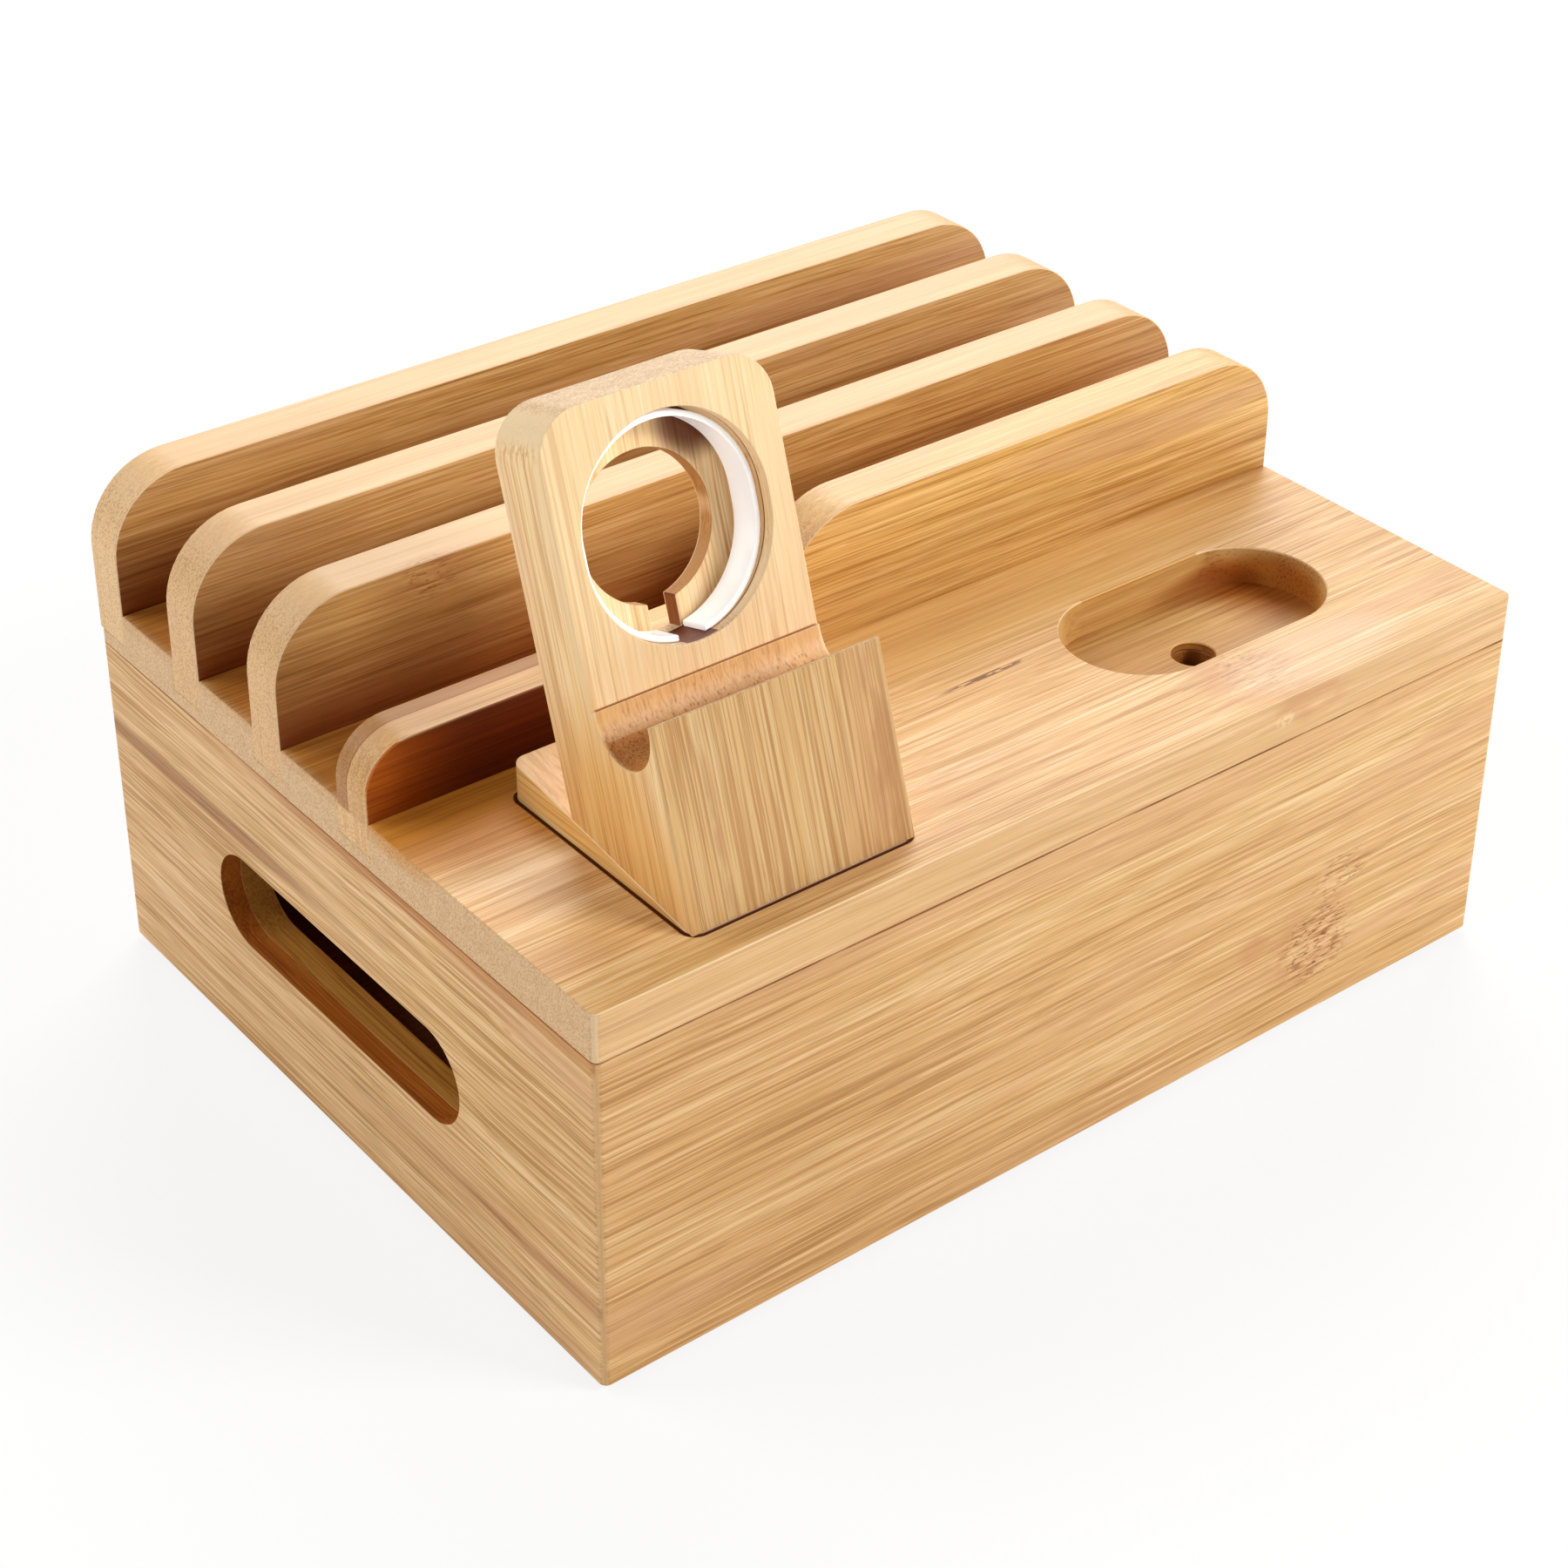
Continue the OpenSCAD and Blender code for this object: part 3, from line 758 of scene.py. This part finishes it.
@dataclass
class SlottedLid(SubAssembly):
    """The lid board, its battens and the four dividers."""

    body: str = "lid"
    ease_mm: float = 0.3
    deck_mm: float = 64.7
    lid_marks_and_shade: tuple[Mark, ...] = (
        Mark(Flaw.BLUSH, (38, -58, 64), (12, 11, 8)),
        Mark(Flaw.BLUSH, (43, -66, 62), (10, 9, 4), 0.9),
        Mark(Flaw.DASHES, (39.5, -58.5, 64), (8, 8, 6), 0.55),
        Mark(Flaw.PALE, (37.5, -66.6, 60.8), (2.4, 2, 1.5)),
        Mark(Flaw.TONE_AND_PAINTED_LIGHT, (50, -60, 64.7), (22, 8, 3), 0.3, srgb(246, 214, 184)),
        # Painted light: brighter golden tones on the deck in front of the front divider, standing in for light
        # bounced there.
        Mark(Flaw.TONE_AND_PAINTED_LIGHT, (20, -18, 64.7), (70, 13, 2), 0.45, srgb(255, 205, 120)),
        Mark(Flaw.TONE_AND_PAINTED_LIGHT, (-77, -15, 64.7), (24, 8, 2), 0.4, srgb(255, 196, 84)),
        Mark(Flaw.LINES, (-70, -20, 64.7), (26, 14, 2), 0.8),
        Mark(Flaw.SPLIT, (6, -34.8, 64.7), (11, 0.7, 2)),
        # Painted shade inside the earbud tray, darkest on its right wall and at the back right of its floor.
        Mark(Flaw.CUT_SHADE_AND_STRIP, (44.8, -39.45, 61), (26, 14, 3.45), 1.0, srgb(232, 221, 184)),
        Mark(Flaw.PAINTED_SHADE_AND_STREAK, (72, -34, 60), (22, 16, 4.9), 1.0, srgb(222, 176, 112)),
        Mark(Flaw.PAINTED_SHADE_AND_STREAK, (66, -27.5, 58.2), (22, 7, 5), 0.8, srgb(206, 160, 104)),
        Mark(Flaw.DOTS, (64, -39.45, 61.7), (6, 14, 2.75), 0.4, srgb(176, 116, 60)),
        # Painted shade on the wall of the tray's hole, and painted shade that dims the painted highlight along
        # the tray's back rim.
        Mark(Flaw.CUT_SHADE_AND_STRIP, (43.1, -41.65, 57.1), (3.9, 3.9, 0.9), 1.0, srgb(200, 160, 100)),
        Mark(Flaw.CUT_SHADE_AND_STRIP, (44.8, -27.3, 64.6), (12.6, 0.5, 0.35), 1.0, srgb(236, 212, 166)),
        # Painted shadow along the rim of the stand's pocket.
        Mark(Flaw.CUT_SHADE_AND_STRIP, (-48.5, -39.7, 64.46), (20.3, 22.3, 0.16), 1.0, srgb(130, 88, 54)),
        # Painted shade on the deck between the dividers.
        Mark(Flaw.CUT_SHADE_AND_STRIP, (0, 27, 64), (88.3, 35, 1), 1.0, srgb(232, 196, 132)),
        # Painted shade: a slight dimming of the deck's right front, and a golden shade on the deck beside the
        # low divider and the stand.
        Mark(Flaw.PAINTED_SHADE_AND_STREAK, (66, -50, 64.7), (60, 30, 4), 0.7, srgb(246, 248, 250)),
        Mark(Flaw.PAINTED_SHADE_AND_STREAK, (-74, -19, 64.7), (26, 15, 4), 1.0, srgb(244, 212, 146)),
    )
    front_divider_marks_and_shade: tuple[Mark, ...] = (
        # Painted shade, and the stand's painted shadow, on the face of the divider's low part.
        Mark(Flaw.CUT_SHADE_AND_STRIP, (-65.5, -12.4, 69), (22.2, 0.3, 7), 1.0, srgb(213, 144, 66)),
        Mark(Flaw.PAINTED_SHADE_AND_STREAK, (-62, -12.6, 70), (24, 0.5, 30), 1.0, srgb(160, 126, 130)),
        Mark(Flaw.LINES, (-70, -12.4, 69), (26, 3, 16)),
        # Painted shade over the whole low part; then a darker strip of the wood at its back, and the dark line
        # where that strip meets the next.
        Mark(Flaw.CUT_SHADE_AND_STRIP, (-66, -8.2, 77), (22.6, 3.9, 13), 1.0, srgb(240, 232, 220)),
        Mark(Flaw.CUT_SHADE_AND_STRIP, (-66, -5.9, 77), (22.6, 1.5, 13), 1.0, srgb(216, 198, 174)),
        Mark(Flaw.CUT_SHADE_AND_STRIP, (-66, -7.45, 77), (22.6, 0.14, 13), 1.0, srgb(208, 170, 136)),
    )
    divider_marks: tuple[Mark, ...] = (
        Mark(Flaw.DASHES, (-61, 11.2, 84.3), (6, 3, 4.5), 0.8),
        Mark(Flaw.BLUSH, (-62, 11.2, 84), (9, 3, 6), 0.8),
    )

    def build(self) -> None:
        """Builds and dresses every piece of the lid."""
        across = Grain.ACROSS_BOX
        # The lid board's rounded edges get a painted highlight.
        board = Bamboo("lid_bamboo", across, seed=6.0, dark=srgb(190, 136, 78), base=srgb(222, 175, 113),
                       pale=srgb(240, 203, 152), edge_axis=1, edge=srgb(226, 184, 134), edge_share=0.45,
                       end=srgb(214, 176, 131), arris_highlight=srgb(248, 216, 168), marks=self.lid_marks_and_shade)
        self.place("lid_board", board.material(), "bamboo_lid", self.ease_mm)
        batten = Bamboo("batten_bamboo", Grain.FRONT_TO_BACK, seed=7.0).material()
        for node in ("batten_left", "batten_right"):
            self.place(node, batten, "bamboo_panel", self.ease_mm)
        # A darker copy of the bamboo, painted shade for the plate seen through the tray's hole.
        shaded_pad = Bamboo("shaded_pad_bamboo", across, seed=15.0, dark=srgb(126, 68, 20), base=srgb(168, 98, 34),
                     pale=srgb(190, 120, 50), end=srgb(158, 92, 32), arris_highlight=srgb(120, 66, 20))
        self.place("tray_pad", shaded_pad.material(), "bamboo_panel", self.ease_mm)
        names = ("divider_back", "divider_mid_back", "divider_mid_front", "divider_front")
        marks = {"divider_mid_front": self.divider_marks, "divider_front": self.front_divider_marks_and_shade}
        for number, node in enumerate(names):
            near = node == "divider_front"
            # Each divider gets painted shade at the bottom of its faces and a painted highlight along its
            # rounded edges.
            finish = Bamboo(
                node + "_bamboo", across, seed=8.0 + number,
                dark=srgb(189, 133, 60) if near else srgb(176, 122, 58),
                base=srgb(231, 180, 100) if near else srgb(216, 166, 96),
                pale=srgb(250, 208, 134) if near else srgb(236, 193, 130),
                end=srgb(242, 202, 152) if node == "divider_back" else srgb(230, 186, 136),
                layers=0.35 if near else 0.12, edge_axis=2, edge=srgb(235, 196, 150),
                edge_share=0.5 if near else 0.7, arris_highlight=srgb(250, 218, 172),
                foot_shade_mm=self.deck_mm, foot_shade=0.3 if near else 1.0, foot_shade_in_front=node == "divider_back",
                strip_mm=2.7, strip=0.22, marks=marks.get(node, ()),
            )
            self.place(node, finish.material(), "bamboo_divider", self.ease_mm)


@dataclass
class LeaningStand(SubAssembly):
    """The stand's block, its plank, the white split ring and the screws."""

    body: str = "stand"
    ease_mm: float = 0.22
    block_marks_and_shade: tuple[Mark, ...] = (
        Mark(Flaw.TONE_AND_PAINTED_LIGHT, on_slope(-48.5, 100, -63.6), (60, 60, 3), 0.45, srgb(253, 222, 172)),
        Mark(Flaw.LINES, on_slope(-48.5, 54, -77.3), (60, 40, 4), 0.9),
        Mark(Flaw.DASHES, on_slope(-48.5, 71, -65), (3, 26, 3), 0.3),
        Mark(Flaw.BLUSH, on_slope(-32, 56.3, -76.6), (22, 3.2, 4), 0.9),
        Mark(Flaw.BLUSH, on_slope(-61, 56.3, -76.6), (24, 1.2, 4), 0.7),
        # A darker tone on the lip's front face.
        Mark(Flaw.CUT_SHADE_AND_STRIP, on_slope(-48.5, 51.2, -77.55), (30, 19.4, 0.5), 1.0, srgb(220, 209, 190)),
        # Painted shade on the lower part of the block's left side.
        Mark(Flaw.PAINTED_SHADE_AND_STREAK, on_slope(-67.6, 45, -62), (34, 3, 20), 1.0, srgb(244, 222, 180)),
        # Painted shade inside the groove, deeper at its bottom, with dots of cut fibres.
        Mark(Flaw.CUT_SHADE_AND_STRIP, on_slope(-48.5, 70, -70.3), (4.5, 18.95, 6.5), 1.0, srgb(236, 214, 184)),
        Mark(Flaw.CUT_SHADE_AND_STRIP, on_slope(-48.5, 66.4, -70.3), (2.1, 18.95, 6.5), 1.0, srgb(240, 214, 176)),
        Mark(Flaw.DOTS, on_slope(-48.5, 67, -70.3), (2.8, 18.95, 6.5), 0.6, srgb(186, 144, 104)),
        # Painted shadow lines where the face meets the groove and where the ring's top meets the seat's wall,
        # and painted shade on the seat's wall under the ring.
        Mark(Flaw.CUT_SHADE_AND_STRIP, on_slope(-48.5, 72.81, -63.6), (0.08, 18.9, 1.2), 1.0, srgb(190, 146, 104)),
        Mark(Flaw.CUT_SHADE_AND_STRIP, on_slope(-48.5, 92.5, -61.62), (16.6, 16, 0.14), 1.0, srgb(156, 112, 74)),
        Mark(Flaw.CUT_SHADE_AND_STRIP, on_slope(-48.5, 92.5, -55.85), (16.6, 16, 0.37), 1.0, srgb(140, 96, 60)),
        # Painted shade on the walls of the through hole and of the slit, and on the seat's wall between the
        # ring's ends.
        Mark(Flaw.CUT_SHADE_AND_STRIP, on_slope(-48.5, 91.85, -54.01), (10.9, 10.9, 1.34), 1.0, srgb(204, 170, 132)),
        Mark(Flaw.CUT_SHADE_AND_STRIP, on_slope(-46.25, 80, -54.01), (4, 0.12, 1.34), 1.0, srgb(150, 100, 60)),
        Mark(Flaw.CUT_SHADE_AND_STRIP, on_slope(-48, 77.7, -59.4), (1.6, 2.7, 3.9), 1.0, srgb(128, 66, 24)),
        # Painted shadow of the ring on the seat's floor.
        Mark(Flaw.PAINTED_SHADE_AND_STREAK, on_slope(-38.2, 105, -55.4), (7.5, 7.5, 1.5), 1.0, srgb(120, 75, 40)),
    )

    plank_marks_and_shade: tuple[Mark, ...] = (
        # Painted shadow along the bottom edge of the plank, where it sits in the pocket.
        Mark(Flaw.CUT_SHADE_AND_STRIP, (-48.5, -39.6, 64.33), (23, 20, 0.34), 1.0, srgb(112, 64, 30)),
        Mark(Flaw.LINES, (-60, -38, 68), (30, 20, 8), 0.8),
    )

    def build(self) -> None:
        """Builds and dresses every piece of the stand."""
        # The block's rounded edges get a painted highlight.
        block = Bamboo(
            "stand_block_bamboo", Grain.UP_THE_SLOPE, seed=13.0, dark=srgb(212, 162, 104),
            base=srgb(254, 216, 158), pale=srgb(255, 234, 192), rosy=srgb(245, 198, 148),
            olive=srgb(248, 206, 142), end=srgb(214, 178, 138), fibre=0.85, band=0.85, strip_mm=2.4, strip=0.3,
            arris_highlight=srgb(252, 222, 174), marks=self.block_marks_and_shade,
        )
        self.place("stand_block", block.material(), "bamboo_stand", self.ease_mm)
        # The plank's rounded edges get a painted highlight.
        plank = Bamboo("stand_plank_bamboo", Grain.FRONT_TO_BACK, seed=14.0, dark=srgb(224, 162, 84),
                       base=srgb(255, 202, 120), pale=srgb(255, 222, 154), edge_axis=2,
                       edge=srgb(222, 184, 142), edge_share=0.6, arris_highlight=srgb(252, 224, 180),
                       marks=self.plank_marks_and_shade)
        self.place("stand_plank", plank.material(), "bamboo_stand", self.ease_mm)
        # The white ring emits painted light to look brighter.
        plastic = PlainFinish("liner_plastic", srgb(248, 248, 248), srgb(243, 243, 242), 0.25, clear_coat=0.3,
                              painted_glow=0.28)
        self.place("seat_liner", plastic.material(), "liner_plastic", self.ease_mm)
        steel = PlainFinish("screw_steel", srgb(180, 180, 182), srgb(150, 150, 152), 0.35, metallic=1.0)
        self.place("stand_screws", steel.material(), "screw_steel", self.ease_mm)


@dataclass
class Studio:
    """Camera, soft lights, floor and backdrop."""

    camera_at_mm: Triple = (-267.27, -334.33, 313.74)
    camera_turn_deg: Triple = (59.795, -0.796, -38.740)
    lens_mm: float = 73.151
    shift: tuple[float, float] = (-0.0333, -0.12)
    floor_size: float = 6.0
    floor_lift: float = 0.82
    shadow_reach: tuple[float, float] = (0.22, 0.75)
    lamps: list[tuple[str, Triple, float, float]] = field(default_factory=lambda: [
        ("front_right", (0.8, -1.1, 0.9), 0.6, 20.5),
        ("back_right", (0.9, 1.0, 1.1), 1.2, 24.0),
        ("back_left", (-0.9, 0.9, 1.0), 1.0, 11.5),
        ("left", (-1.2, -0.35, 0.75), 0.8, 4.5),
    ])

    def build(self) -> None:
        """Builds the whole studio."""
        self.add_camera()
        for name, place, size, power in self.lamps:
            self.add_lamp(name, Vector(place), size, power)
        self.add_world()
        self.add_floor()
        bpy.context.scene.view_settings.view_transform = "Standard"

    def add_camera(self) -> None:
        """Places the camera as the photograph was taken."""
        camera = bpy.data.cameras.new("camera")
        camera.sensor_width = 36
        camera.lens = self.lens_mm
        camera.shift_x, camera.shift_y = self.shift
        camera.clip_start = 0.01
        holder = bpy.data.objects.new("camera", camera)
        holder.location = Vector(self.camera_at_mm) * MM
        holder.rotation_euler = Euler([math.radians(a) for a in self.camera_turn_deg])
        bpy.context.scene.collection.objects.link(holder)
        bpy.context.scene.camera = holder

    def add_lamp(self, name: str, place: Vector, size: float, power: float) -> None:
        """Adds a square soft lamp that faces the object.

        Args:
            name: Name of the lamp.
            place: Where it hangs.
            size: Its side.
            power: Its power in watts.
        """
        lamp = bpy.data.lights.new(name, "AREA")
        lamp.size = size
        lamp.energy = power
        holder = bpy.data.objects.new(name, lamp)
        holder.location = place
        target = Vector((0, 0, 0.06))
        holder.rotation_euler = (target - place).to_track_quat("-Z", "Y").to_euler()
        bpy.context.scene.collection.objects.link(holder)

    def add_world(self) -> None:
        """Lights the object evenly and shows a white background to the eye."""
        world = bpy.data.worlds.new("studio")
        bpy.context.scene.world = world
        world.use_nodes = True
        nodes, links = world.node_tree.nodes, world.node_tree.links
        light = next(n for n in nodes if n.type == "BACKGROUND")
        light.inputs["Strength"].default_value = 0.05
        light.inputs["Color"].default_value = (1, 1, 1, 1)
        seen = nodes.new("ShaderNodeBackground")
        seen.inputs["Strength"].default_value = 1.0
        seen.inputs["Color"].default_value = (1, 1, 1, 1)
        path = nodes.new("ShaderNodeLightPath")
        blend = nodes.new("ShaderNodeMixShader")
        links.new(path.outputs["Is Camera Ray"], blend.inputs[0])
        links.new(light.outputs[0], blend.inputs[1])
        links.new(seen.outputs[0], blend.inputs[2])
        out = next(n for n in nodes if n.type == "OUTPUT_WORLD")
        links.new(blend.outputs[0], out.inputs[0])

    def add_floor(self) -> None:
        """Adds a wide pale floor that keeps the object's shadow."""
        shape = bmesh.new()
        bmesh.ops.create_grid(shape, x_segments=1, y_segments=1, size=self.floor_size)
        mesh = bpy.data.meshes.new("floor")
        shape.to_mesh(mesh)
        shape.free()
        floor = bpy.data.objects.new("floor", mesh)
        bpy.context.scene.collection.objects.link(floor)
        shader = Shader("floor_white")
        shader.surface.inputs["Base Color"].default_value = (0.9, 0.9, 0.9, 1)
        shader.surface.inputs["Roughness"].default_value = 0.9
        seen = shader.add("ShaderNodeLightPath", {}, {})
        white = shader.add("ShaderNodeEmission", {}, {"Color": (1, 1, 1, 1), "Strength": 1.0})
        point = shader.object_point()
        x, y = shader.dot(point, (1, 0, 0)), shader.dot(point, (0, 1, 0))
        away = ((x * x + y * y) ** 0.5).step(*self.shadow_reach)
        lift = Shade(shader, seen.outputs["Is Camera Ray"]) * (away * (1 - self.floor_lift) + self.floor_lift)
        blend = shader.add("ShaderNodeMixShader", {}, {0: lift})
        shader.links.new(shader.surface.outputs[0], blend.inputs[1])
        shader.links.new(white.outputs[0], blend.inputs[2])
        out = next(n for n in shader.nodes if n.type == "OUTPUT_MATERIAL")
        shader.links.new(blend.outputs[0], out.inputs[0])
        mesh.materials.append(shader.material)


def main() -> None:
    """Builds the object and the studio."""
    logging.basicConfig(level=logging.INFO, format="%(name)s: %(message)s")
    for part in (CableBox(), SlottedLid(), LeaningStand()):
        part.build()
    Studio().build()


if __name__ == "__main__":
    main()
